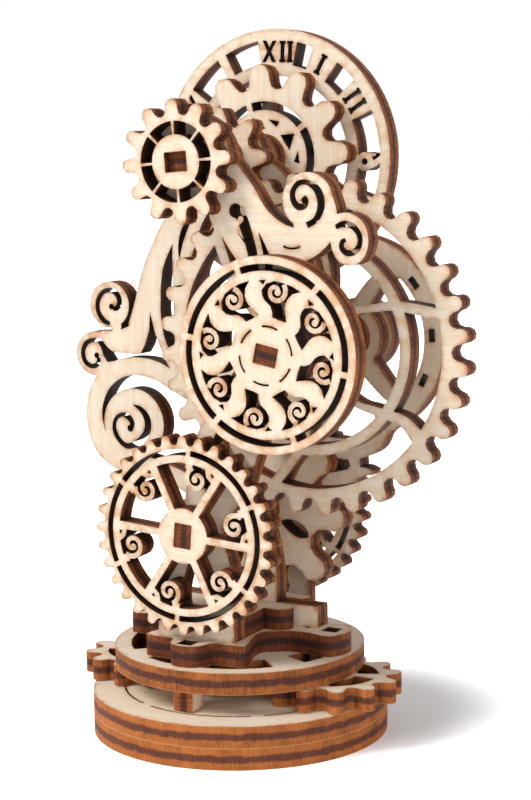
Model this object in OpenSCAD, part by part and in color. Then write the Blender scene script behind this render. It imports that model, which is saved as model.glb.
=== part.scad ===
// Geared clock model cut from plywood sheet: three frames on a turning deck
// carry three sticks with their wheels and a pierced dial.
// Millimetres, +Z up, wheel faces look towards -Y,
// origin at the centre of the underside of the base.

/* [Sheet] */
// Thickness of the plywood sheet
sheet_t = 3; // [2.8:0.1:3.2]
// Width of a scored line
kerf_w = 0.26; // [0.2:0.02:0.4]
// Gap between a turning face and the fixed face beside it
face_gap = 0.1; // [0.06:0.02:0.2]
// Radial clearance of a turning stick or pin in its round hole
run_gap = 0.06; // [0.03:0.01:0.09]
// Radial clearance of a piece fixed on a stick or dowel
fit_gap = 0.02; // [0.01:0.01:0.04]

/* [Base] */
// Radius of the two base discs
base_r = 20.8; // [20.5:0.1:26]
// Radius of the scored ring on the base
score_r = 16.4; // [15.5:0.1:17]
// Depth of the scored ring
score_deep = 0.5; // [0.3:0.1:0.8]
// Radius of the centre dowel that the deck turns on
dowel_r = 1.9; // [1.6:0.1:2.2]

/* [Deck] */
// Gap under the deck where the flat wheels run
deck_gap = 3.3; // [3.26:0.02:3.5]
// Radius of the deck ring
deck_r = 17.6; // [17:0.1:19]
// Width of the deck ring's rim
deck_rim = 2.3; // [1.8:0.1:2.8]
// Radius of the deck's inner disc
deck_hub_r = 10.4; // [9.6:0.2:11]
// Distance of the posts from the centre
post_ring_r = 14.5; // [14.4:0.1:14.8]
// Side of a square post
post_w = 2.9; // [2.6:0.1:3.2]
// Side of the square window in each lobe of the clover plate
lobe_window = 2.2; // [1.8:0.1:2.6]
// Half length of the frames' feet along X
foot_half = 5.9; // [5.5:0.1:6.4]
// Half length of the middle frame's foot along X
long_foot_half = 12.4; // [11.5:0.1:13]
// Distance of a foot's tenons from the middle
tenon_at = 4.6; // [4.4:0.1:4.8]
// Width of a tenon
tenon_w = 1.8; // [1.6:0.1:2]
// Half length of the front lock plate over its lobes
front_lock_reach = 9.4; // [9:0.1:9.8]
// Half length of the rear lock plate over its lobes
rear_lock_reach = 8.9; // [8.5:0.1:9.3]
// Radius of the front lock plate's lobes
front_lobe_r = 1.7; // [1.5:0.1:1.9]
// Radius of the rear lock plate's lobes
rear_lobe_r = 1.2; // [1.1:0.1:1.4]

/* [Flat wheels] */
// Teeth of each flat wheel under the deck
flat_teeth = 12; // [12:1:12]
// Teeth of the centre wheel on the base
centre_teeth = 8; // [8:1:8]

/* [Axles] */
// Height of the lower stick
low_z = 30.1; // [29.8:0.1:31]
// Rise from one stick to the next
axle_rise = 24.8; // [24.2:0.1:25]
// Distance between meshing sticks
axle_step = 27.96; // [27.6:0.01:28.02]
// Long side of a stick's section
stick_long = 3.3; // [3.1:0.1:3.4]
// Short side of a stick's section
stick_short = 2.6; // [2.4:0.1:2.8]
// How far the upper stick's front end lies below its wheel's face
stick_recess = 1.2; // [0.5:0.1:1.6]
// Outer radius of the collars on the sticks
collar_r = 3.4; // [3.1:0.1:3.7]

/* [Wheels] */
// Tip radius of the large drive wheel
drive_tip_r = 23.1; // [22.9:0.1:23.9]
// Height of the drive wheel's teeth
drive_tooth_h = 2.4; // [2.3:0.1:2.5]
// Teeth of the drive wheel
drive_teeth = 32; // [32:1:32]
// Teeth of the inner pinions
pinion_teeth = 8; // [8:1:8]
// Tip radius of the lower front wheel
fine_tip_r = 13.6; // [13.4:0.1:14]
// Teeth of the lower front wheel
fine_teeth = 32; // [30:1:34]
// Radius of the sun disc
sun_r = 12.9; // [12.5:0.1:13.2]
// Tip radius of the upper front pinion
front_pinion_tip_r = 8.2; // [8:0.1:8.6]
// Tip radius of the rosette wheel behind the frames
rosette_tip_r = 13.1; // [12.8:0.1:13.4]
// Tip radius of the lobed wheel on the lower stick
lobed_tip_r = 13.6; // [13.2:0.1:14]

/* [Dial] */
// Radius of the dial
dial_r = 18; // [17.8:0.1:18.6]
// Width of the dial's outer ring
dial_rim = 1.5; // [1.3:0.1:2]
// Outer radius of the dial's inner ring
dial_inner_r = 13.2; // [13:0.1:13.8]
// Width of the dial's inner ring
dial_inner_w = 1.7; // [1.2:0.1:2]

/* [Hidden] */

$fn = 96;

// Colours
birch = [0.93, 0.84, 0.70];
burnt = [0.62, 0.42, 0.26];

// Places of the layers along Z
base_top = 2 * sheet_t;
flat_z = base_top + (deck_gap - sheet_t) / 2;
deck_z = base_top + deck_gap;
clover_z = deck_z + sheet_t;
frame_z = clover_z + sheet_t;

// Front faces of the upright layers along Y
middle_y = 0;
inner_wheel_y = middle_y - face_gap - sheet_t;
front_frame_y = inner_wheel_y - 3 * sheet_t - face_gap;
front_wheel_y = front_frame_y - face_gap - sheet_t;
rear_wheel_y = middle_y + 2 * sheet_t + face_gap;
rear_frame_y = rear_wheel_y + sheet_t + face_gap;
dial_y = rear_frame_y + sheet_t;
rosette_y = dial_y - face_gap - sheet_t;
rear_cap_y = dial_y + face_gap;

// Axes of the three sticks as [x, z]
middle_x = sqrt(axle_step * axle_step - axle_rise * axle_rise);
lower_axis = [0, low_z];
middle_axis = [middle_x, low_z + axle_rise];
upper_axis = [0, low_z + 2 * axle_rise];

// Sticks: a rectangle whose corners are trimmed to a circle
stick_r = sqrt(stick_long * stick_long + stick_short * stick_short) / 2 - 0.06;
stick_bore_r = stick_r + run_gap;

// Size of the drawn outlines against the sizes that they were drawn at
reach = axle_rise / 24.8;
clover_scale = post_ring_r / 14.5;

// How far a lock plate's lobes stay off the layer beside them
lobe_gap = 0.2;

// How far the lower and middle sticks' front ends lie below their wheels' faces
stick_set = 0.25;

// Radii of the frames' eyes about the sticks
eye_r = 4.8;
front_eye_r = 6.4;

// Teeth of the meshing pairs
drive_root_r = drive_tip_r - drive_tooth_h;
mesh_gap = 0.3;
pinion_tip_r = axle_step - drive_root_r - mesh_gap;
pinion_root_r = axle_step - drive_tip_r - mesh_gap;
flat_tip_r = 9.65;
flat_root_r = 7.5;
centre_tip_r = post_ring_r - flat_root_r - mesh_gap;
centre_root_r = post_ring_r - flat_tip_r - mesh_gap;

// Cut numerals: height, width of a stroke, width and height of a serif
numeral_h = dial_r - dial_rim - dial_inner_r - 0.3;
stroke_w = 0.64;
serif_w = 0.98;
serif_h = 0.42;

// Turn of the wheels at rest, as the angle of one tooth
drive_phase = 5.5;
upper_phase = follower_phase(drive_phase, atan2(axle_rise, -middle_x), drive_teeth, pinion_teeth);
lower_phase = follower_phase(drive_phase, atan2(-axle_rise, -middle_x), drive_teeth, pinion_teeth);
sun_turn = -12;
upper_turn = 4.3;
lower_turn = -4.5;

// Angle of a follower's tooth when it meshes with a wheel in direction dir
function follower_phase(phase, dir, n_wheel, n_follower) =
    dir + 180 - (phase - dir) * n_wheel / n_follower + 180 / n_follower;

// Point p turned by angle a about the origin
function turned(p, a) = [p[0] * cos(a) - p[1] * sin(a), p[0] * sin(a) + p[1] * cos(a)];

// Outline of n rounded teeth between two radii
function tooth_outline(n, tip_r, root_r, tip_round, root_round) =
    [for (i = [0 : n - 1]) each concat(
        [for (s = [-78 : 39 : 78]) turned(
            [tip_r - tip_round * (1 - cos(s)), tip_round * sin(s)], i * 360 / n)],
        [for (s = [-78 : 39 : 78]) turned(
            [root_r + root_round * (1 - cos(s)), root_round * sin(s)], (i + 0.5) * 360 / n)])];

// Point of a smooth curve through four points of a list
function curve_point(p0, p1, p2, p3, t) = 0.5 * (2 * p1 + (p2 - p0) * t
    + (2 * p0 - 5 * p1 + 4 * p2 - p3) * t * t + (3 * p1 - p0 - 3 * p2 + p3) * t * t * t);

// Smooth open curve through points, with steps pieces between two of them
function open_curve(pts, steps) = let (last = len(pts) - 1) concat(
    [for (i = [0 : last - 1], j = [0 : steps - 1]) curve_point(
        pts[max(i - 1, 0)], pts[i], pts[i + 1], pts[min(i + 2, last)], j / steps)],
    [pts[last]]);

// Smooth closed curve through points
function closed_curve(pts, steps) = let (n = len(pts))
    [for (i = [0 : n - 1], j = [0 : steps - 1]) curve_point(
        pts[(i + n - 1) % n], pts[i], pts[(i + 1) % n], pts[(i + 2) % n], j / steps)];

// Side step from point i of a path, half its width w to the left
function side_step(path, i) = let (
    a = path[max(i - 1, 0)],
    b = path[min(i + 1, len(path) - 1)],
    d = [b[0] - a[0], b[1] - a[1]])
    [-d[1], d[0]] / norm(d) * path[i][2] / 2;

// Outline of a band along a path of [x, z, width], right side first
function band(path) = let (last = len(path) - 1) concat(
    [for (i = [0 : last]) [path[i][0], path[i][1]] - side_step(path, i)],
    [for (i = [last : -1 : 0]) [path[i][0], path[i][1]] + side_step(path, i)]);

// Smooth limb through points [x, z, width]
module limb(pts, steps = 4) {
    polygon(band(open_curve(pts, steps)));
}

// Spiral band with a round eye: r0 and w0 at its start, r1 and w1 at its eye
module volute(c, r0, r1, from, turns, w0, w1, eye, steps = 14) {
    count = round(abs(turns) * steps);
    path = [for (k = [0 : count]) let (
        t = k / count,
        r = r0 + (r1 - r0) * t,
        a = from + 360 * turns * t) [c[0] + r * cos(a), c[1] + r * sin(a), w0 + (w1 - w0) * t]];
    polygon(band(path));
    translate([path[count][0], path[count][1]]) circle(r = eye);
}

// Ring between two radii
module ring(r_out, r_in) {
    difference() {
        circle(r = r_out);
        circle(r = r_in);
    }
}

// Piece of a ring between two angles less than 180 degrees apart
module ring_arc(r_out, r_in, from, to) {
    far = r_out / cos((to - from) / 4) + 1;
    intersection() {
        ring(r_out, r_in);
        polygon([[0, 0], far * [cos(from), sin(from)],
            far * [cos((3 * from + to) / 4), sin((3 * from + to) / 4)],
            far * [cos((from + to) / 2), sin((from + to) / 2)],
            far * [cos((from + 3 * to) / 4), sin((from + 3 * to) / 4)],
            far * [cos(to), sin(to)]]);
    }
}

// Straight bar out from the centre between two radii, at angle a
module spoke(r_in, r_out, w, a) {
    rotate(a) translate([r_in, -w / 2]) square([r_out - r_in, w]);
}

// Section of a stick grown by a gap: a rectangle with trimmed corners, long side along X
module stick_section(gap = 0) {
    intersection() {
        square([stick_long + 2 * gap, stick_short + 2 * gap], center = true);
        circle(r = stick_r + gap);
    }
}

// Stands a flat outline drawn as [x, z] upright, with its front face at y
module upright(y, thick = sheet_t) {
    translate([0, y + thick, 0]) rotate([90, 0, 0]) linear_extrude(height = thick) children();
}

// Lays a flat outline drawn as [x, y] down at height z
module flat(z, thick = sheet_t) {
    translate([0, 0, z]) linear_extrude(height = thick) children();
}

// Base

module base_disc_lower() {
    color(burnt) flat(0) circle(r = base_r);
}

module base_disc_upper() {
    color(birch) difference() {
        flat(sheet_t) difference() {
            circle(r = base_r);
            circle(r = dowel_r + fit_gap);
        }
        translate([0, 0, base_top - score_deep]) linear_extrude(height = 1)
            for (a = [10 : 60 : 310]) ring_arc(score_r, score_r - kerf_w, a, a + 54);
    }
}

module centre_dowel() {
    color(burnt) translate([0, 0, sheet_t]) cylinder(r = dowel_r, h = frame_z - sheet_t - face_gap);
}

// Round hole that turns on the centre dowel
module dowel_bore() {
    circle(r = dowel_r + run_gap);
}

// Wheels under the deck

module centre_flat_wheel() {
    color(birch) flat(base_top) difference() {
        rotate(180 / centre_teeth)
            polygon(tooth_outline(centre_teeth, centre_tip_r, centre_root_r, 0.95, 1));
        circle(r = dowel_r + fit_gap);
    }
}

module flat_wheel(side) {
    window_out = flat_root_r - 1.1;
    window_in = dowel_r + 1.6;
    color(birch) flat(flat_z) translate([side * post_ring_r, 0]) difference() {
        polygon(tooth_outline(flat_teeth, flat_tip_r, flat_root_r, 1.05, 1));
        circle(r = dowel_r + run_gap);
        for (a = [22 : 90 : 292]) ring_arc(window_out, window_in, a, a + 68);
    }
}

module flat_wheel_left() {
    flat_wheel(-1);
}

module flat_wheel_right() {
    flat_wheel(1);
}

// Height that a post's square tenon reaches into the clover plate
function tenon_h() = sheet_t * 0.55;

module flat_wheel_pins() {
    color(burnt) for (side = [-1, 1]) translate([side * post_ring_r, 0, 0]) {
        translate([0, 0, flat_z]) cylinder(r = dowel_r, h = clover_z - flat_z);
        translate([0, 0, clover_z]) linear_extrude(height = tenon_h()) square(lobe_window, center = true);
    }
}

module deck_posts() {
    color(burnt) for (side = [-1, 1]) translate([0, side * post_ring_r, 0]) {
        translate([0, 0, flat_z]) linear_extrude(height = clover_z - flat_z) square(post_w, center = true);
        translate([0, 0, clover_z]) linear_extrude(height = tenon_h()) square(lobe_window, center = true);
    }
}

// Deck

module deck_ring() {
    window_half = 36;
    window_out = deck_r - deck_rim;
    window_in = deck_hub_r + 0.9;
    seat = post_w + 1.6;
    color(birch) flat(deck_z) difference() {
        union() {
            difference() {
                circle(r = deck_r);
                for (mid = [-80, 10, 100, 190])
                    ring_arc(window_out, window_in, mid - window_half, mid + window_half);
            }
            // Seats round the posts
            for (a = [0 : 90 : 270]) rotate(a) translate([post_ring_r, 0]) square(seat, center = true);
        }
        dowel_bore();
        for (side = [-1, 1]) {
            translate([side * post_ring_r, 0]) circle(r = dowel_r + fit_gap);
            translate([0, side * post_ring_r]) square(post_w + 2 * fit_gap, center = true);
        }
    }
}

// Quarter of the clover plate's outline, from the front lobe to the right lobe
clover_quarter = [[0, -16.2], [2.0, -15.6], [2.7, -13.9], [3.4, -13.1], [6.8, -13.0], [7.7, -12.2],
    [6.9, -9.2], [6.2, -6.6], [6.4, -4.9], [7.7, -3.9], [9.6, -2.9], [12.2, -2.7], [14.9, -3.3],
    [16.2, -2.6], [17.1, 0]];

// The same outline mirrored into the other quarters, in order
clover_outline = let (q = clover_quarter, n = len(q)) concat(
    q,
    [for (i = [n - 2 : -1 : 0]) [q[i][0], -q[i][1]]],
    [for (i = [1 : n - 1]) [-q[i][0], -q[i][1]]],
    [for (i = [n - 2 : -1 : 1]) [-q[i][0], q[i][1]]]);

// Front faces of the three upright frames
frame_ys = [front_frame_y, middle_y, rear_frame_y];

module clover_plate() {
    slot_w = tenon_w + 2 * fit_gap;
    slot_l = sheet_t + 2 * fit_gap;
    color(birch) flat(clover_z) difference() {
        scale(clover_scale) polygon(closed_curve(clover_outline, 3));
        dowel_bore();
        for (a = [0 : 90 : 270])
            rotate(a) translate([post_ring_r, 0]) square(lobe_window + 2 * fit_gap, center = true);
        for (y = frame_ys, side = [-1, 1])
            translate([side * tenon_at - slot_w / 2, y - fit_gap]) square([slot_w, slot_l]);
        // Two small windows beside the middle frame's foot
        for (side = [-1, 1]) translate([side * 10.9 * clover_scale, 0]) square([0.8, 0.9], center = true);
    }
}

// Plate on the deck that braces a frame, with a round lobe on each side
module lock(y0, y1, lobe_y, half, lobe_r) {
    color(birch) flat(frame_z) union() {
        translate([-foot_half, y0]) square([2 * foot_half, y1 - y0]);
        for (side = [-1, 1]) translate([side * (half - lobe_r), lobe_y]) circle(r = lobe_r);
        translate([lobe_r - half, lobe_y - lobe_r]) square([2 * (half - lobe_r), 2 * lobe_r]);
    }
}

module front_lock() {
    back = middle_y;
    lock(front_frame_y + sheet_t, back, back - front_lobe_r - lobe_gap, front_lock_reach, front_lobe_r);
}

module rear_lock() {
    back = middle_y + sheet_t;
    lock(back, rear_wheel_y - lobe_gap, back + rear_lobe_r + lobe_gap, rear_lock_reach, rear_lobe_r);
}

// Frames, drawn as [x, z]

// Foot with two tenons through the clover plate
module foot(half) {
    translate([-half, frame_z]) square([2 * half, sheet_t]);
    for (side = [-1, 1])
        translate([side * tenon_at - tenon_w / 2, clover_z]) square([tenon_w, sheet_t + 1]);
}

// Round eye of a frame about an axis
module eye(axis, r) {
    translate(axis) circle(r = r);
}

// Bore of a stick
module stick_bore(axis) {
    translate(axis) circle(r = stick_bore_r);
}

// Limb points given from an axis: each is [dx, dz, width]
function from_axis(axis, pts) =
    [for (p = pts) [axis[0] + reach * p[0], axis[1] + reach * p[1], reach * p[2]]];

// Smooth limb through points given from an axis
module limb_from(axis, pts, steps = 5) {
    limb(from_axis(axis, pts), steps);
}

// Disc at a point given from an axis
module disc_from(axis, at, r) {
    translate(axis + reach * at) circle(r = reach * r);
}

// Legs from the foot to the lower eye, and the limb from there to the middle eye
module column() {
    limb([[-3.6, frame_z + 1, 4.2], [-3.9, frame_z + 6, 3.2], [-2.2, low_z - 3, 3.4], [0, low_z, 4]]);
    limb([[3.6, frame_z + 1, 4.2], [4.3, frame_z + 6, 3.4], [3.4, low_z - 3, 3.4], [1, low_z + 1, 4]]);
    eye(lower_axis, eye_r - 0.2);
    eye(middle_axis, eye_r);
    limb_from(lower_axis, [[1, 1, 4.4], [5.4, 6, 4.4], [8.6, 14, 4.4], [12.95, 24.8, 4.4]]);
}

module front_frame() {
    color(birch) upright(front_frame_y) union() {
        difference() {
            union() {
                foot(foot_half);
                column();
                eye(upper_axis, front_eye_r);
                // Arm from the upper eye sweeping down to the right scrolls
                limb_from(upper_axis, [[3.5, -1.5, 7.5], [7.3, -4.6, 5.6], [9.9, -8.1, 5.2],
                    [13.4, -10.4, 5], [17, -10.6, 4.2], [20.2, -8.9, 2.8], [21.4, -7.6, 2]]);
                // Broad neck down to the middle eye
                limb_from(upper_axis, [[14.2, -11, 5.4], [14.5, -15, 4.6], [13.6, -20, 4.2],
                    [12.95, -24.8, 4.2]]);
                // Thin strip between the comma-shaped window and the slot
                limb_from(upper_axis, [[9.8, -8.5, 1.4], [10.5, -11, 1], [10.9, -13.5, 1],
                    [11.8, -18, 1.6], [12.9, -23, 2.4]]);
                // Outer strip on the left
                limb_from(upper_axis, [[2.6, -2, 4], [4.6, -6.3, 2.6], [5.7, -8.8, 2.2],
                    [7, -10.7, 2.3], [8.5, -12.9, 2.3], [10.4, -17, 2.4], [12.4, -22, 3]]);
                // First scroll on its ball, and the band that joins it to the second
                disc_from(upper_axis, [17.6, -5], 3.6);
                disc_from(upper_axis, [16.4, -8], 0.85);
                limb_from(upper_axis, [[20.6, -4.6, 1.2], [21, -6.4, 1.5], [20.6, -8.6, 2.4]]);
                // Second scroll
                translate(upper_axis) scale(reach) polygon(closed_curve([[20.9, -10.6], [21.7, -12.4],
                    [23.4, -13.2], [25.2, -12.5], [26.1, -10.6], [25.9, -8.6], [24.9, -7.2],
                    [23.2, -6.5], [21.4, -6.9], [20.7, -8.4]], 4));
                // Left brace from the middle eye to the lower eye
                limb_from(lower_axis, [[12.95, 24.8, 4], [6.4, 20, 2.6], [1.6, 12, 2.4], [0, 2, 3.4]]);
            }
            // Comma-shaped window
            disc_from(upper_axis, [7.1, -6.4], 0.95);
            limb_from(upper_axis, [[7.5, -6.3, 1.6], [8.3, -8, 1.6], [9, -10, 1.5], [9.6, -12.2, 1.4],
                [10, -15, 0.8]]);
            // Pointed slot beside the neck
            limb_from(upper_axis, [[10.5, -9.2, 0.1], [11.2, -11, 0.6], [11.9, -13.4, 1.1],
                [12, -16.5, 0.9]]);
            // Spiral cuts of the two scrolls
            limb_from(upper_axis, [[17.5, -8.15, 0.8], [18.7, -7.5, 0.8], [19.45, -6.2, 1],
                [19.5, -4.8, 1.1], [18.9, -3.5, 1], [17.7, -2.75, 0.7], [16.4, -2.8, 0.7],
                [15.55, -3.8, 0.75], [15.6, -5, 0.85], [16.3, -5.8, 0.9], [17.2, -5.65, 0.8],
                [17.45, -4.95, 0.6], [17.1, -4.5, 0.5]]);
            disc_from(upper_axis, [17.15, -4.95], 0.42);
            limb_from(upper_axis, [[21.6, -8.35, 0.6], [22.6, -7.95, 0.8], [23.9, -8.15, 0.8],
                [24.85, -9.2, 0.75], [24.95, -10.4, 0.7], [24.3, -11.35, 0.8], [23.2, -11.6, 0.8],
                [22.45, -11, 0.75], [22.5, -10.2, 0.65], [23, -9.95, 0.5]]);
            for (axis = [lower_axis, middle_axis, upper_axis]) stick_bore(axis);
            // Scored smile on the broad part of the arm
            translate(upper_axis + reach * [15.3, -8.3]) ring_arc(3, 3 - kerf_w, 244, 296);
        }
        // Hook inside the comma-shaped window
        limb_from(upper_axis, [[7, -10.4, 1.6], [6.5, -9, 1.6], [7.1, -8.2, 0.9], [7.8, -7.7, 0.6]]);
        disc_from(upper_axis, [7.85, -7.5], 0.42);
    }
}

module middle_frame() {
    color(birch) upright(middle_y) difference() {
        union() {
            foot(long_foot_half);
            column();
            eye(upper_axis, eye_r);
            // Arm from the upper eye down to the right, behind the front arm
            limb_from(upper_axis, [[1, -1, 6], [5.6, -3, 4.4], [8.6, -6.4, 3.6], [10.6, -11, 3.2],
                [12, -18, 3.2], [12.95, -24.8, 4]]);
            // Outer strip on the left, from the upper eye to the plate under the scrolls
            limb_from(upper_axis, [[0, 0, 6], [-5.3, -3.4, 4.4], [-9.2, -8, 3.2], [-12.3, -13.2, 2.9],
                [-13.6, -17, 3.5], [-14.3, -21, 4.4], [-15.6, -24.8, 4.8], [-18, -25.7, 3.6],
                [-20.3, -25.75, 3.1], [-21.5, -25.35, 2.2], [-22.6, -25.1, 1.2]]);
            // Two inner strips from the upper eye down to the middle eye
            limb_from(upper_axis, [[-6.5, -5.5, 2.4], [-8.6, -8.5, 1.4], [-9.4, -12, 0.9],
                [-9.2, -15.6, 1.4], [-8.8, -20, 2.2], [-8.6, -25, 2.4], [-6.5, -30, 2.4],
                [-2, -36, 2.6], [2.4, -41.4, 3], [5, -44.4, 3]]);
            limb_from(upper_axis, [[-3, -3.5, 3.4], [-5.6, -8, 1.8], [-7.3, -12, 1.9],
                [-8.3, -15.6, 1.5], [-8.7, -18.5, 1.2]]);
            // Spike that closes the lyre-shaped window
            limb_from(upper_axis, [[-12.9, -20.6, 1.6], [-12.5, -23.2, 1.3], [-11.9, -25.6, 1.2],
                [-10.6, -28.2, 1.3], [-9, -30, 1.6], [-6.4, -31.4, 2]]);
            // Limb under the small scrolls, round the large scroll and back to the lower eye
            limb_from(lower_axis, [[-4, 16.4, 2], [-7.2, 17, 2.4], [-10, 18.4, 2.6],
                [-12.6, 19.7, 2.7], [-15.5, 20.3, 2.6], [-19, 19.9, 2.6], [-22, 17.8, 2.8],
                [-23.5, 14.4, 2.7], [-23.3, 10.9, 2.8], [-21.7, 8.1, 3.2], [-18.6, 6.5, 3.2],
                [-14, 5.9, 2.6], [-9.5, 4.5, 2.6], [-5, 2.4, 3], [-1, 0, 4.4]]);
            // Discs of the large scroll and of the two small ones, one on its ball
            disc_from(lower_axis, [-16.9, 12.1], 5);
            disc_from(lower_axis, [-20.6, 29], 3.3);
            disc_from(lower_axis, [-19.5, 26], 0.85);
            disc_from(lower_axis, [-23.2, 21.9], 3.2);
        }
        // Spiral cut of the large scroll
        limb_from(lower_axis, [[-17, 14.75, 0.12], [-15.7, 14.2, 0.7], [-14.7, 13, 1.05],
            [-14.55, 11.5, 1.1], [-15.3, 10.1, 1.1], [-16.6, 9.1, 1], [-18.2, 8.7, 0.8],
            [-19.5, 9.6, 0.75], [-20.2, 11, 0.7], [-20, 12.4, 0.6], [-19, 13.2, 0.6],
            [-17.9, 13, 0.85], [-17.2, 12.2, 0.8], [-17.25, 11.4, 0.7]]);
        disc_from(lower_axis, [-17.5, 11.3], 0.5);
        // Spiral cut of the upper small scroll
        limb_from(lower_axis, [[-20.55, 26.3, 0.55], [-21.6, 26.7, 0.8], [-22.5, 28, 0.75],
            [-22.5, 29.5, 0.75], [-21.7, 30.7, 0.7], [-20.5, 31.1, 0.7], [-19.3, 30.6, 0.85],
            [-18.85, 29.5, 0.8], [-19.3, 28.6, 0.75], [-20, 28.5, 0.6]]);
        disc_from(lower_axis, [-20.25, 28.75], 0.42);
        // Wedge and thin gap under the plate, opening into the lower small scroll
        translate(lower_axis) scale(reach) {
            polygon([[-13.8, 28.2], [-14, 25.6], [-14.8, 23.4], [-15.6, 22.1], [-13.3, 21.6],
                [-12.3, 22.4], [-12.85, 24.6]]);
            polygon([[-19.3, 21.95], [-20.2, 22.3], [-21, 22.8], [-22.3, 24.2], [-22.8, 23.6],
                [-22.2, 22.8], [-21.8, 21.6], [-21.1, 20.7], [-20.2, 20.9], [-19.3, 21.5]]);
        }
        limb_from(lower_axis, [[-14.8, 21.95, 0.5], [-17, 21.8, 0.4], [-19.6, 21.72, 0.5]]);
        limb_from(lower_axis, [[-22.4, 23.75, 0.7], [-23.3, 23.85, 0.6], [-24.6, 23.4, 0.75],
            [-25.3, 22, 0.75], [-24.9, 20.6, 0.75], [-23.8, 20, 0.7], [-22.8, 20.4, 0.7],
            [-22.6, 21.3, 0.6]]);
        disc_from(lower_axis, [-22.95, 21.6], 0.42);
        for (axis = [lower_axis, middle_axis, upper_axis]) stick_bore(axis);
    }
}

module rear_frame() {
    arc_out = 14.4;
    arc_in = 11.5;
    color(birch) upright(rear_frame_y) difference() {
        union() {
            foot(foot_half);
            column();
            // Broad arc round the middle eye, behind the dial's rim
            translate(middle_axis) scale(reach) for (a = [-70, 14]) ring_arc(arc_out, arc_in, a, a + 86);
            limb_from(middle_axis, [[1, 3, 3], [4.5, 8, 2], [9, 10.2, 2.4]]);
            limb_from(middle_axis, [[2, -3, 3], [6, -7.5, 2.2], [9.2, -9.2, 2.6]]);
            // Two bars of the pierced brace below the large wheel, and the links between them
            limb_from(lower_axis, [[18.9, 13.4, 2.6], [17.4, 11.9, 2.8], [16.2, 10, 3], [13, 8.9, 3],
                [9, 9.1, 2.6], [5.5, 8.5, 2.6], [2, 3.9, 3]]);
            limb_from(lower_axis, [[2, 2.9, 3], [6, 4.5, 2.6], [10, 4.3, 2.2], [13, 5.1, 2],
                [15, 5.9, 1.2], [16.4, 5.7, 0.6]]);
            limb_from(lower_axis, [[13.4, 8.3, 2], [13.8, 6.5, 1.6], [13, 5.1, 1.8]]);
            limb_from(lower_axis, [[5.4, 8.5, 2.4], [5.6, 6.3, 2], [5.8, 4.5, 2]]);
            // Left arm up to the dial's rim, and the brace to the middle eye
            limb_from(lower_axis, [[0, 0, 4], [-5, 6.9, 3], [-9, 14.9, 3], [-11.8, 23.9, 3.2],
                [-12.8, 29.9, 3.6], [-12.6, 33.9, 3.8], [-11.4, 37.2, 4.6]]);
            limb_from(lower_axis, [[0, 0, 4], [-4.8, 5.7, 2.8], [-5.2, 13.7, 2.6], [-1, 21.7, 2.6],
                [6, 24, 2.6], [12.95, 24.8, 3]]);
        }
        // Slots on the inner side of the arc
        translate(middle_axis) scale(reach) for (a = [-26, 3, 38])
            rotate(a) translate([arc_in + 0.7, -0.9]) square([0.9, 1.8]);
        for (axis = [lower_axis, middle_axis]) stick_bore(axis);
    }
}

// Sticks

// Length from y0 to y1 along an axis, turned by angle a
module stick(axis, y0, y1, a) {
    color(burnt) translate([0, y1, 0]) rotate([90, 0, 0]) linear_extrude(height = y1 - y0)
        translate(axis) rotate(a) stick_section();
}

module lower_stick() {
    stick(lower_axis, front_wheel_y + stick_set, rear_cap_y + sheet_t, 90 + lower_turn);
}

module middle_stick() {
    stick(middle_axis, front_wheel_y + stick_set, rear_cap_y + sheet_t, sun_turn);
}

module upper_stick() {
    stick(upper_axis, front_wheel_y + stick_recess, dial_y + sheet_t, upper_turn);
}

// Square hole for a stick in a wheel, turned by angle a
module stick_hole(a) {
    rotate(a) stick_section(fit_gap);
}

// Wheels, drawn about their own axis and then placed

module on_axis(axis, y, thick = sheet_t) {
    upright(y, thick) translate(axis) children();
}

// Slots of a ring with ties between them
module slot_ring(r_out, r_in, n, first_tie, tie_w) {
    half = asin(tie_w / 2 / r_out);
    for (i = [0 : n - 1]) {
        a = first_tie + i * 360 / n;
        ring_arc(r_out, r_in, a + half, a + 360 / n - half);
    }
}

// Fine-toothed wheel with six spokes and a curl in each window
module curl_wheel(turn, phase, hole_turn) {
    tooth_h = 1.35;
    slot_out = fine_tip_r - 1.85;
    slot_in = slot_out - 0.8;
    ring_in = slot_in - 1;
    hub = 3.75;
    curl_at = ring_in - 1.8;
    difference() {
        union() {
            difference() {
                rotate(phase)
                    polygon(tooth_outline(fine_teeth, fine_tip_r, fine_tip_r - tooth_h, 0.62, 0.6));
                slot_ring(slot_out, slot_in, 6, turn - 31, 0.7);
                circle(r = ring_in);
            }
            circle(r = hub);
            for (i = [0 : 5]) rotate(turn + 60 * i) {
                spoke(hub - 0.5, ring_in + 0.3, 1, 0);
                rotate(18) volute([curl_at, 0], 1.7, 0.3, 38, 1.2, 0.72, 0.55, 0.45);
                // Stem of the curl and the small pierced corner beside it
                rotate(27) translate([ring_in - 0.7, -0.5]) square([1, 1.1]);
                difference() {
                    polygon([[ring_in - 1.3, 0], [ring_in + 0.2, -0.1], [ring_in + 0.2, 2.4],
                        [ring_in - 0.2, 2.3], [ring_in - 1, 1.5]]);
                    polygon([[ring_in - 0.6, 0.75], [ring_in - 0.05, 0.7], [ring_in - 0.2, 1.3]]);
                }
            }
        }
        stick_hole(hole_turn);
    }
}

module lower_front_wheel() {
    color(birch) on_axis(lower_axis, front_wheel_y) curl_wheel(lower_turn, 10.5, 90 + lower_turn);
}

module lower_rear_wheel() {
    color(birch) on_axis(lower_axis, rear_cap_y) curl_wheel(lower_turn, 4, 90 + lower_turn);
}

// Outline of one window of the sun disc as [radius, angle] about the curl's place
sun_window = [[9.75, -21], [8.9, -15.5], [8.1, -13.2], [7.3, -12.8], [6.6, -14.6], [5.3, -24],
    [5.0, -12], [5.05, -1], [5.7, 0.5], [6.4, 4], [7.1, 11.4], [7.7, 13.8], [8.4, 14], [9.2, 9.6],
    [9.65, 3], [9.7, -4], [9.75, -12]];

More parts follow.
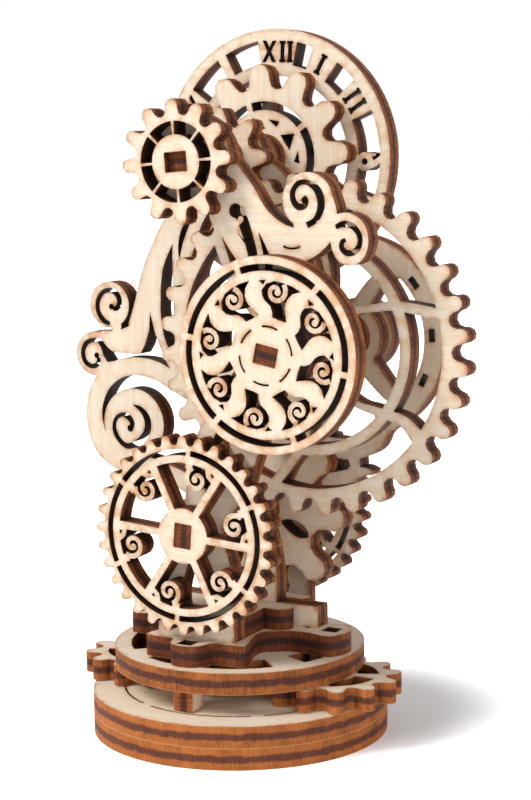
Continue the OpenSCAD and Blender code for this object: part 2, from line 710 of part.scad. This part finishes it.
module sun_disc() {
    rim_out = sun_r - 1.05;
    rim_in = rim_out - 0.9;
    score_at = 3.95;
    window_scale = sun_r / 12.75;
    color(birch) on_axis(middle_axis, front_wheel_y) difference() {
        union() {
            difference() {
                circle(r = sun_r);
                slot_ring(rim_out, rim_in, 6, 50, 0.85);
                for (i = [0 : 7]) rotate(33.9 + 45 * i) scale(window_scale) {
                    polygon([for (p = sun_window) p[0] * [cos(p[1]), sin(p[1])]]);
                    rotate(13.6) polygon([[9.05, -0.2], [9.7, -0.6], [9.6, 0.45]]);
                }
            }
            for (i = [0 : 7]) rotate(33.9 + 45 * i) scale(window_scale)
                volute([8.35, 0], 1.5, 0.28, -40, -1.15, 0.68, 0.52, 0.44);
        }
        for (i = [0 : 5]) ring_arc(score_at, score_at - kerf_w, 2 + 60 * i, 37 + 60 * i);
        stick_hole(sun_turn);
    }
}

module upper_front_pinion() {
    color(birch) on_axis(upper_axis, front_wheel_y) difference() {
        rotate(upper_turn)
            polygon(tooth_outline(12, front_pinion_tip_r, front_pinion_tip_r - 2.15, 0.92, 0.85));
        slot_ring(5.3, 3.55, 8, upper_turn, 0.42);
        stick_hole(upper_turn);
    }
}

module drive_wheel() {
    rim_in = drive_root_r - 1.3;
    ring_out = 14.9;
    ring_in = 13.4;
    color(birch) on_axis(middle_axis, inner_wheel_y) difference() {
        union() {
            difference() {
                rotate(drive_phase) polygon(tooth_outline(drive_teeth, drive_tip_r, drive_root_r, 1, 1.1));
                circle(r = rim_in);
            }
            ring(ring_out, ring_in);
            circle(r = 4.8);
            // Six swept spokes, leaning one way and the other by turns
            for (i = [0 : 2]) {
                rotate(24 + 120 * i) swept_spoke([[3.4, 30, 1.8], [8.6, 11, 1], [11.4, 4.5, 1.1],
                    [14.2, 0, 1.3], [rim_in + 0.6, -10, 1.5]]);
                rotate(-36.5 + 120 * i) swept_spoke([[3.4, -34, 1.6], [9.6, -11.5, 0.9],
                    [12.4, -4.5, 1.1], [15, 0.5, 1.4], [17.2, 2.4, 1.6], [rim_in + 0.6, 0.5, 2.2]]);
            }
        }
        stick_hole(sun_turn);
    }
}

// Limb through points given as [radius, angle, width]
module swept_spoke(pts) {
    limb([for (p = pts) [p[0] * cos(p[1]), p[0] * sin(p[1]), p[2]]], 5);
}

// Eight-toothed pinion on a stick
module pinion(axis, phase, hole_turn) {
    color(birch) on_axis(axis, inner_wheel_y) difference() {
        rotate(phase) polygon(tooth_outline(pinion_teeth, pinion_tip_r, pinion_root_r, 0.8, 1.1));
        stick_hole(hole_turn);
    }
}

module upper_inner_pinion() {
    pinion(upper_axis, upper_phase, upper_turn);
}

module lower_inner_pinion() {
    pinion(lower_axis, lower_phase, 90 + lower_turn);
}

module rosette_wheel() {
    slot_out = 7.9;
    slot_in = 6.7;
    color(birch) on_axis(upper_axis, rosette_y) difference() {
        rotate(3.3) polygon(tooth_outline(12, rosette_tip_r, rosette_tip_r - 3.4, 1.5, 1.2));
        slot_ring(slot_out, slot_in, 5, 36, 0.9);
        // Large and small pierced triangles by turns
        for (i = [0 : 4]) {
            rotate(34 + 72 * i) polygon([[3.9, -1.4], [5.9, 0.1], [3.9, 1.2]]);
            rotate(-2 + 72 * i) polygon([[4.7, -0.4], [5.6, -0.6], [5.3, 1.2]]);
        }
        stick_hole(upper_turn);
    }
}

module lobed_wheel() {
    color(birch) on_axis(lower_axis, rear_wheel_y) difference() {
        rotate(-3) polygon(tooth_outline(9, lobed_tip_r, lobed_tip_r - 4.6, 1.9, 2.2));
        for (i = [0 : 4]) rotate(72 * i - 24) translate([6.3, 0]) leaf_window();
        stick_hole(90 + lower_turn);
    }
}

// Leaf-shaped window along X
module leaf_window() {
    polygon(closed_curve([[-2.4, 0], [-1, -0.7], [0.8, -0.9], [2.3, -0.2], [2, 0.6], [0.8, 1.15],
        [-1, 1]], 3));
}

module middle_rear_cap() {
    color(birch) on_axis(middle_axis, rear_cap_y) difference() {
        circle(r = 5.2);
        stick_hole(sun_turn);
    }
}

// Collars that keep the layers apart on a stick: one before the drive wheel's layer, one
// behind the middle frame up to rear_end
module collars(axis, a, rear_end) {
    front_start = front_frame_y + sheet_t + face_gap;
    rear_start = middle_y + sheet_t + face_gap;
    color(burnt) {
        collar(axis, a, front_start, inner_wheel_y);
        collar(axis, a, rear_start, rear_end);
    }
}

module collar(axis, a, y0, y1) {
    on_axis(axis, y0, y1 - y0) difference() {
        circle(r = collar_r);
        stick_hole(a);
    }
}

module lower_collars() {
    collars(lower_axis, 90 + lower_turn, rear_wheel_y);
}

module middle_collars() {
    collars(middle_axis, sun_turn, rear_frame_y - face_gap);
}

module upper_collars() {
    collars(upper_axis, upper_turn, rosette_y);
}

// Dial

// Vertical stroke of a numeral at offset x, with a serif at both ends
module stroke_i(x) {
    h = numeral_h / 2;
    translate([x - stroke_w / 2, -h]) square([stroke_w, numeral_h]);
    for (z = [-h, h - serif_h]) translate([x - serif_w / 2, z]) square([serif_w, serif_h]);
}

// Slanted stroke from the foot at x0 to the top at x1
module stroke_slant(x0, x1) {
    h = numeral_h / 2;
    w = stroke_w / 2;
    polygon([[x0 - w, -h], [x0 + w, -h], [x1 + w, h], [x1 - w, h]]);
}

// Cross of two slanted strokes about offset x
module stroke_x(x) {
    stroke_slant(x - 0.8, x + 0.8);
    stroke_slant(x + 0.8, x - 0.8);
}

// Two slanted strokes that meet at the foot at offset x
module stroke_v(x) {
    stroke_slant(x, x - 0.8);
    stroke_slant(x, x + 0.8);
}

// Numeral n, drawn about its own centre and reading outward
module numeral(n) {
    if (n == 1) stroke_i(0);
    if (n == 2) for (x = [-0.82, 0.82]) stroke_i(x);
    if (n == 4) {
        stroke_i(-1.5);
        stroke_v(0.9);
    }
    if (n == 5) stroke_v(0);
    if (n == 6) {
        stroke_v(-0.9);
        stroke_i(1.5);
    }
    if (n == 7) {
        stroke_v(-1.7);
        for (x = [0.5, 2.2]) stroke_i(x);
    }
    if (n == 8) {
        stroke_v(-2.5);
        for (x = [-0.4, 1.2, 2.8]) stroke_i(x);
    }
    if (n == 9) {
        stroke_i(-1.5);
        stroke_x(0.9);
    }
    if (n == 10) stroke_x(0);
    if (n == 12) {
        stroke_x(-1.25);
        for (x = [0.85, 2.05]) stroke_i(x);
    }
}

// Angle of each plate on the dial and half the angle that it covers, from I to XII: the
// third place holds an ornament and the eleventh a narrow tie
plate_at = [60, 31.5, 0, -30, -60, -90, -120, -150, 180, 150, 120.6, 87.7];
plate_half = [7.4, 8.6, 0, 10, 6.4, 10, 12.4, 14.4, 10, 6.4, 2.5, 10.9];

module dial() {
    outer_in = dial_r - dial_rim;
    inner_in = dial_inner_r - dial_inner_w;
    band_r = (outer_in + dial_inner_r) / 2;
    ornament = [dial_inner_r + 0.95, -0.6];
    color(birch) on_axis(upper_axis, dial_y) difference() {
        union() {
            ring(dial_r, outer_in);
            ring(dial_inner_r, inner_in);
            for (i = [0 : 11]) if (plate_half[i] > 0) rotate(plate_at[i])
                ring_arc(outer_in + 0.3, dial_inner_r - 0.3, -plate_half[i], plate_half[i]);
            // Ring ornament with two horns in place of the third numeral
            translate(ornament) circle(r = 1.3);
            limb([[ornament[0], ornament[1] + 0.9, 0.6], [band_r + 0.5, 0.35, 0.5],
                [band_r + 1, 0.3, 0.2]], 4);
            limb([[ornament[0], ornament[1] - 0.7, 1], [band_r + 0.8, -0.85, 0.9],
                [outer_in + 0.3, 0, 0.7]], 4);
            for (a = [0 : 90 : 270]) spoke(3, inner_in + 0.3, 1.8, a + 8);
            circle(r = eye_r);
        }
        for (n = [1 : 12]) rotate(plate_at[n - 1] - 90) translate([0, band_r]) numeral(n);
        translate(ornament) circle(r = 0.45);
        circle(r = stick_bore_r);
    }
}

base_disc_lower();
base_disc_upper();
centre_dowel();
centre_flat_wheel();
flat_wheel_left();
flat_wheel_right();
flat_wheel_pins();
deck_posts();
deck_ring();
clover_plate();
front_lock();
rear_lock();
front_frame();
middle_frame();
rear_frame();
lower_stick();
middle_stick();
upper_stick();
lower_front_wheel();
sun_disc();
upper_front_pinion();
drive_wheel();
upper_inner_pinion();
lower_inner_pinion();
rosette_wheel();
lobed_wheel();
lower_rear_wheel();
middle_rear_cap();
lower_collars();
middle_collars();
upper_collars();
dial();
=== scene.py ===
import math

import bmesh
import bpy
from mathutils import Matrix, Vector


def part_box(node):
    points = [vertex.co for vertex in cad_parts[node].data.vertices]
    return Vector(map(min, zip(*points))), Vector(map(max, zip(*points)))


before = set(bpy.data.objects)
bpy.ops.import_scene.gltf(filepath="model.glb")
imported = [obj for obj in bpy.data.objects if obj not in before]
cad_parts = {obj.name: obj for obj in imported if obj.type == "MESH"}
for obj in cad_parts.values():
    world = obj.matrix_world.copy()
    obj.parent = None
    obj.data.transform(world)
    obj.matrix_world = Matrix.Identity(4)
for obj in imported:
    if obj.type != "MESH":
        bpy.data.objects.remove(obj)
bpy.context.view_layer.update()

print("frame loaded:", len(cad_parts), "pieces")


# A socket that can take part in sums
class Wire:
    def __init__(self, tree, socket):
        self.tree = tree
        self.socket = socket

    def maths(self, operation, *values):
        return self.tree.maths(operation, *values)

    def __add__(self, other):
        return self.maths("ADD", self, other)

    def __radd__(self, other):
        return self.maths("ADD", other, self)

    def __sub__(self, other):
        return self.maths("SUBTRACT", self, other)

    def __rsub__(self, other):
        return self.maths("SUBTRACT", other, self)

    def __mul__(self, other):
        return self.maths("MULTIPLY", self, other)

    def __rmul__(self, other):
        return self.maths("MULTIPLY", other, self)

    def __truediv__(self, other):
        return self.maths("DIVIDE", self, other)

    def __rtruediv__(self, other):
        return self.maths("DIVIDE", other, self)

    def __abs__(self):
        return self.maths("ABSOLUTE", self)

    def part(self):
        return self.maths("FRACT", self)

    def rise(self, low, high):
        return self.tree.make("ShaderNodeMapRange", {"interpolation_type": "SMOOTHSTEP"},
                              {"Value": self, "From Min": low, "From Max": high})


# The nodes of a material or of the sky, each made by one method
class Finish:
    def __init__(self, owner):
        owner.use_nodes = True
        self.owner = owner
        self.nodes = owner.node_tree.nodes
        self.links = owner.node_tree.links

    def make(self, kind, settings=None, sockets=None, output=0):
        node = self.nodes.new(kind)
        for key, value in (settings or {}).items():
            if key == "stops":
                for stop in value[2:]:
                    node.color_ramp.elements.new(stop[0])
                for element, stop in zip(node.color_ramp.elements, value):
                    element.position = stop[0]
                    element.color = stop[1]
            else:
                setattr(node, key, value)
        for key, value in (sockets or {}).items():
            if isinstance(value, Wire):
                self.links.new(value.socket, node.inputs[key])
            else:
                node.inputs[key].default_value = value
        return Wire(self, node.outputs[output])

    def maths(self, operation, *values):
        return self.make("ShaderNodeMath", {"operation": operation}, dict(enumerate(values)))

    def mixed(self, factor, first, second):
        return self.make("ShaderNodeMix", {"data_type": "RGBA"}, {0: factor, 6: first, 7: second}, 2)

    def along(self, vector, direction):
        return self.make("ShaderNodeVectorMath", {"operation": "DOT_PRODUCT"},
                         {0: vector, 1: direction}, "Value")

    def noise(self, vector, stretch, shift, detail=3, roughness=0.55):
        place = self.make("ShaderNodeMapping", {},
                          {"Vector": vector, "Location": shift, "Scale": stretch})
        return self.make("ShaderNodeTexNoise", {},
                         {"Vector": place, "Scale": 1, "Detail": detail, "Roughness": roughness})

    # How near other walls of the same piece are, from 0 to 1
    def closeness(self, reach, inside):
        settings = {"inside": inside, "only_local": True, "samples": 8}
        return 1 - self.make("ShaderNodeAmbientOcclusion", settings, {"Distance": reach}, "AO")

    # 1 where the camera looks, straight or through a mirror or glass
    def seen(self):
        rays = [self.make("ShaderNodeLightPath", output=ray)
                for ray in ["Is Camera Ray", "Is Glossy Ray", "Is Transmission Ray"]]
        return self.maths("MAXIMUM", self.maths("MAXIMUM", rays[0], rays[1]), rays[2])

    # Joins a value to a socket of the shader
    def joins(self, name, value):
        socket = self.nodes["Principled BSDF"].inputs[name]
        if isinstance(value, Wire):
            self.links.new(value.socket, socket)
        else:
            socket.default_value = value


# The colour that a screen value shows, as Blender wants it
def shade(red, green, blue):
    def straight(v):
        v = v / 255
        return v / 12.92 if v < 0.04045 else ((v + 0.055) / 1.055) ** 2.4
    return (straight(red), straight(green), straight(blue), 1)


birchPly = {
    "face": shade(241, 227, 207),
    "faceDeep": shade(221, 195, 161),
    "pore": shade(186, 148, 108),
    "scorch": shade(164, 98, 48),
    "stain": shade(224, 164, 100),
    # Pale colour of the painted highlight along the arrises of each cut edge
    "arrisHighlight": shade(214, 176, 128),
    "outerLight": shade(190, 112, 54),
    "outerDark": shade(94, 43, 19),
    "middleLight": shade(92, 48, 40),
    "middleDark": shade(40, 20, 18),
    # Dark char brown, also used as painted shade deep in slots and narrow windows
    "sootAndShade": shade(28, 13, 8),
    "halo": 0.8,       # strength of the scorch along a cut
    "haloWidth": 0.0008,
    "stainWidth": 0.0018,
    "charAndShade": 0.92,      # strength of the soot and painted shade between close walls
    "charAndShadeReach": 0.0034,
    "bandStarts": (0.27, 0.4), "bandEnds": (0.6, 0.73),    # the middle ply, as shares of the sheet
    "arrisHighlightStarts": 0.462,
    "grainDepth": 0.0001, "grainStrength": 0.25,
    "faceRoughness": 0.62, "edgeRoughness": 0.72, "specular": 0.25,
}
mmPerMetre = 1000


# Plywood sheet whose plies lie across the direction `through`; start and thick are in millimetres,
# and dark makes the cut edge more burnt
def plywood(name, through, start, thick, grain, seed, dark=0.0):
    look = birchPly
    finish = Finish(bpy.data.materials.new(name))
    place = finish.make("ShaderNodeTexCoord", output="Object")
    facing = finish.make("ShaderNodeTexCoord", output="Normal")
    mm = finish.make("ShaderNodeVectorMath", {"operation": "SCALE"}, {0: place, "Scale": mmPerMetre})
    shift = (seed * 7.3, seed * 3.1, seed * 5.7)
    wander = finish.noise(mm, (0.5, 0.5, 0.5), shift)
    level = ((finish.along(mm, through) - start) / thick).part()
    isFace = abs(finish.along(facing, through)).rise(0.7, 0.9)

    # Pale face with long grain, pores and a scorched line along each cut
    longWays = [0.05 if grain[i] else 1.5 for i in range(3)]
    fineWays = [0.5 if grain[i] else 9.0 for i in range(3)]
    streak = finish.noise(mm, longWays, shift, 4, 0.6).rise(0.3, 0.72)
    pore = finish.noise(mm, fineWays, shift, 2, 0.5).rise(0.56, 0.74)
    cloud = finish.noise(mm, (0.12, 0.12, 0.12), shift).rise(0.35, 0.75)
    face = finish.mixed(streak * 0.42 + cloud * 0.18, look["face"], look["faceDeep"])
    face = finish.mixed(pore * 0.3, face, look["pore"])
    smoke = finish.noise(mm, (0.7, 0.7, 0.7), shift)
    stained = finish.closeness(look["stainWidth"], True) * smoke.rise(0.42, 0.66) * 0.8
    face = finish.mixed(stained, face, look["stain"])
    rim = finish.closeness(look["haloWidth"], True).rise(0.08, 0.65)
    face = finish.mixed(rim * (0.35 + smoke.rise(0.35, 0.7) * 0.65) * look["halo"], face, look["scorch"])

    # Cut edge: light, dark and light plies with the laser's fine ribs
    ribWays = [0.5 if abs(through[i]) > 0.5 else 7.0 for i in range(3)]
    rib = finish.noise(mm, ribWays, shift, 2, 0.6)
    speck = finish.noise(mm, (5, 5, 5), shift, 3, 0.7)
    burn = finish.noise(mm, (0.35, 0.35, 0.35), shift, 3, 0.6)
    tone = (rib * 0.45 + speck * 0.4 + burn * 0.45 + dark).rise(0.42, 0.88)
    outer = finish.mixed(tone, look["outerLight"], look["outerDark"])
    middle = finish.mixed(tone, look["middleLight"], look["middleDark"])
    depth = level + (wander - 0.5) * 0.24 + (speck - 0.5) * 0.16
    band = depth.rise(*look["bandStarts"]) * (1 - depth.rise(*look["bandEnds"]))
    edge = finish.mixed(band * 0.9, outer, middle)
    # Painted highlight: a thin pale line along both arrises of each cut edge, standing for light caught
    # by the sharp edge
    arrisHighlight = abs(level - 0.5).rise(look["arrisHighlightStarts"], 0.5) * speck.rise(0.35, 0.6) * 0.7
    edge = finish.mixed(arrisHighlight, edge, look["arrisHighlight"])
    # Painted shade together with char: the cut edge darkens where other walls of the same piece are
    # close, as in slots and narrow windows
    recessShade = finish.closeness(look["charAndShadeReach"], False).rise(0.12, 0.6)
    edge = finish.mixed(recessShade * look["charAndShade"], edge, look["sootAndShade"])

    finish.joins("Base Color", finish.mixed(isFace, edge, face))
    height = streak * 0.4 + pore * 0.3 + rib * (1 - isFace) * 0.8
    bump = {"Height": height, "Strength": look["grainStrength"], "Distance": look["grainDepth"]}
    finish.joins("Normal", finish.make("ShaderNodeBump", {}, bump))
    smoother = look["edgeRoughness"] - look["faceRoughness"]
    finish.joins("Roughness", look["edgeRoughness"] - isFace * smoother)
    finish.joins("Specular IOR Level", look["specular"])
    return finish.owner


# A carried-over piece keeps its shape and gets a finer finish
def dress(node, material):
    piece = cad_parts[node]
    for slot in piece.material_slots:
        slot.material = material


# Where a piece starts and how thick it is along an axis, in millimetres
def sheet(node, axis):
    low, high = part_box(node)
    return low[axis] * mmPerMetre, (high[axis] - low[axis]) * mmPerMetre


alongX, alongY, alongZ = (1, 0, 0), (0, 1, 0), (0, 0, 1)

# Grain of each upright sheet
uprightSheets = {
    "lower_front_wheel": alongX, "sun_disc": alongZ, "upper_front_pinion": alongX,
    "front_frame": alongX, "middle_frame": alongZ, "rear_frame": alongZ,
    "drive_wheel": alongX, "upper_inner_pinion": alongX, "lower_inner_pinion": alongX,
    "rosette_wheel": alongZ, "lobed_wheel": alongX, "lower_rear_wheel": alongZ,
    "middle_rear_cap": alongX, "dial": alongX,
}
uprightDark = 0.06
for count, (node, grain) in enumerate(uprightSheets.items()):
    start, thick = sheet(node, 1)
    dress(node, plywood(node + "Ply", alongY, start, thick, grain, count + 1, uprightDark))
print("upright sheets finished")

# Grain of each flat sheet, and how much darker its cut edge is
flatSheets = {
    "base_disc_lower": (alongX, -0.08), "base_disc_upper": (alongX, -0.08),
    "centre_flat_wheel": (alongY, 0.1),
    "flat_wheel_left": (alongX, 0), "flat_wheel_right": (alongX, -0.04),
    "deck_ring": (alongX, 0), "clover_plate": (alongY, 0.16),
    "front_lock": (alongX, 0.2), "rear_lock": (alongX, 0.2),
}
for count, (node, (grain, dark)) in enumerate(flatSheets.items()):
    start, thick = sheet(node, 2)
    dress(node, plywood(node + "Ply", alongZ, start, thick, grain, count + 21, dark))
print("flat sheets finished")

# Sticks, posts and collars: strips of the same sheet, seen mostly on their cut sides
stripLook = {
    "stickTurns": {"lower_stick": 85.5, "middle_stick": -12, "upper_stick": 4.3},    # degrees
    "stickThick": 2.6, "stickDark": 0.12,
    "posts": ["deck_posts", "flat_wheel_pins", "centre_dowel"],
    "collars": ["lower_collars", "middle_collars", "upper_collars"], "collarDark": 0.1,
    "sheetThick": 3,
}
for count, (node, turn) in enumerate(stripLook["stickTurns"].items()):
    low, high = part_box(node)
    across = math.radians(turn + 90)
    direction = (math.cos(across), 0, math.sin(across))
    middle = (Vector(low) + Vector(high)) / 2 * mmPerMetre
    start = middle.dot(Vector(direction)) - stripLook["stickThick"] / 2
    ply = plywood(node + "Ply", direction, start, stripLook["stickThick"], alongY, count + 41,
                  stripLook["stickDark"])
    dress(node, ply)
for count, node in enumerate(stripLook["posts"]):
    start = sheet(node, 0)[0]
    dress(node, plywood(node + "Ply", alongX, start, stripLook["sheetThick"], alongZ, count + 51))
for count, node in enumerate(stripLook["collars"]):
    start = sheet(node, 1)[0]
    ply = plywood(node + "Ply", alongY, start, stripLook["sheetThick"], alongX, count + 61,
                  stripLook["collarDark"])
    dress(node, ply)
print("sticks, posts and collars finished")

# Floor, light and camera
studio = {
    "floorSize": 6.0,
    "floor": (0.93, 0.93, 0.93, 1),
    "lift": 0.03,                    # brightness that the camera adds to the paper beside the object
    "fadeCentre": (0.009, 0.013, 0), "fadeFrom": 0.014, "fadeTo": 0.034,    # where it turns pure white
    "skyLight": 0.5,
    "keyPlace": (-0.55, -0.75, 0.85), "keySize": 0.5, "keyPower": 10.5,
    "fillPlace": (0.9, -0.6, 0.45), "fillSize": 0.9, "fillPower": 3.0,
    "aim": (0, 0, 0.045),
}


def makeFloor():
    mesh = bpy.data.meshes.new("floor")
    shape = bmesh.new()
    bmesh.ops.create_grid(shape, x_segments=1, y_segments=1, size=studio["floorSize"])
    shape.to_mesh(mesh)
    shape.free()
    floor = bpy.data.objects.new("floor", mesh)
    bpy.context.scene.collection.objects.link(floor)
    finish = Finish(bpy.data.materials.new("floorPaper"))
    finish.joins("Base Color", studio["floor"])
    finish.joins("Roughness", 0.9)
    place = finish.make("ShaderNodeTexCoord", output="Object")
    away = finish.make("ShaderNodeVectorMath", {"operation": "DISTANCE"},
                       {0: place, 1: studio["fadeCentre"]}, "Value")
    paper = studio["lift"] + away.rise(studio["fadeFrom"], studio["fadeTo"]) * (1 - studio["lift"])
    finish.joins("Emission Color", finish.seen() * paper)
    finish.joins("Emission Strength", 1)
    mesh.materials.append(finish.owner)


# Even light from all round, which the camera sees as white
def makeSky():
    world = bpy.data.worlds.new("studio")
    bpy.context.scene.world = world
    sky = Finish(world)
    white = (1, 1, 1, 1)
    light = sky.make("ShaderNodeBackground", {}, {"Color": white, "Strength": studio["skyLight"]})
    paper = sky.make("ShaderNodeBackground", {}, {"Color": white, "Strength": 1})
    mix = sky.make("ShaderNodeMixShader", {}, {0: sky.seen(), 1: light, 2: paper})
    sky.links.new(mix.socket, sky.nodes["World Output"].inputs["Surface"])


def makeLamp(name, place, size, power):
    lamp = bpy.data.lights.new(name, "AREA")
    lamp.shape = "DISK"
    lamp.size = size
    lamp.energy = power
    thing = bpy.data.objects.new(name, lamp)
    bpy.context.scene.collection.objects.link(thing)
    away = Vector(place) - Vector(studio["aim"])
    thing.matrix_world = Matrix.Translation(place) @ away.to_track_quat("Z", "Y").to_matrix().to_4x4()


# The photograph's view, for a picture 531 wide and 800 high
view = {
    "place": (0.1310595, -0.2345853, 0.0841478),
    "turn": 0.4944, "tip": 0.1395, "roll": -0.0127,
    "focal": 1950.7, "height": 800,    # in pixels
    "sensor": 36, "clip": 0.01,
}


def makeCamera():
    turn, tip, roll = view["turn"], view["tip"], view["roll"]
    forward = Vector((-math.sin(turn) * math.cos(tip), math.cos(turn) * math.cos(tip), -math.sin(tip)))
    level = Vector((math.cos(turn), math.sin(turn), 0))
    rise = level.cross(forward)
    right = math.cos(roll) * level + math.sin(roll) * rise
    up = math.cos(roll) * rise - math.sin(roll) * level
    lens = bpy.data.cameras.new("camera")
    lens.sensor_fit = "VERTICAL"
    lens.sensor_height = view["sensor"]
    lens.lens = view["focal"] / view["height"] * view["sensor"]
    lens.clip_start = view["clip"]
    camera = bpy.data.objects.new("camera", lens)
    bpy.context.scene.collection.objects.link(camera)
    turned = Matrix((right, up, -forward)).transposed().to_4x4()
    camera.matrix_world = Matrix.Translation(view["place"]) @ turned
    bpy.context.scene.camera = camera


makeFloor()
makeSky()
makeLamp("keyLamp", studio["keyPlace"], studio["keySize"], studio["keyPower"])
makeLamp("fillLamp", studio["fillPlace"], studio["fillSize"], studio["fillPower"])
makeCamera()
bpy.context.scene.view_settings.view_transform = "Standard"
print("studio set")
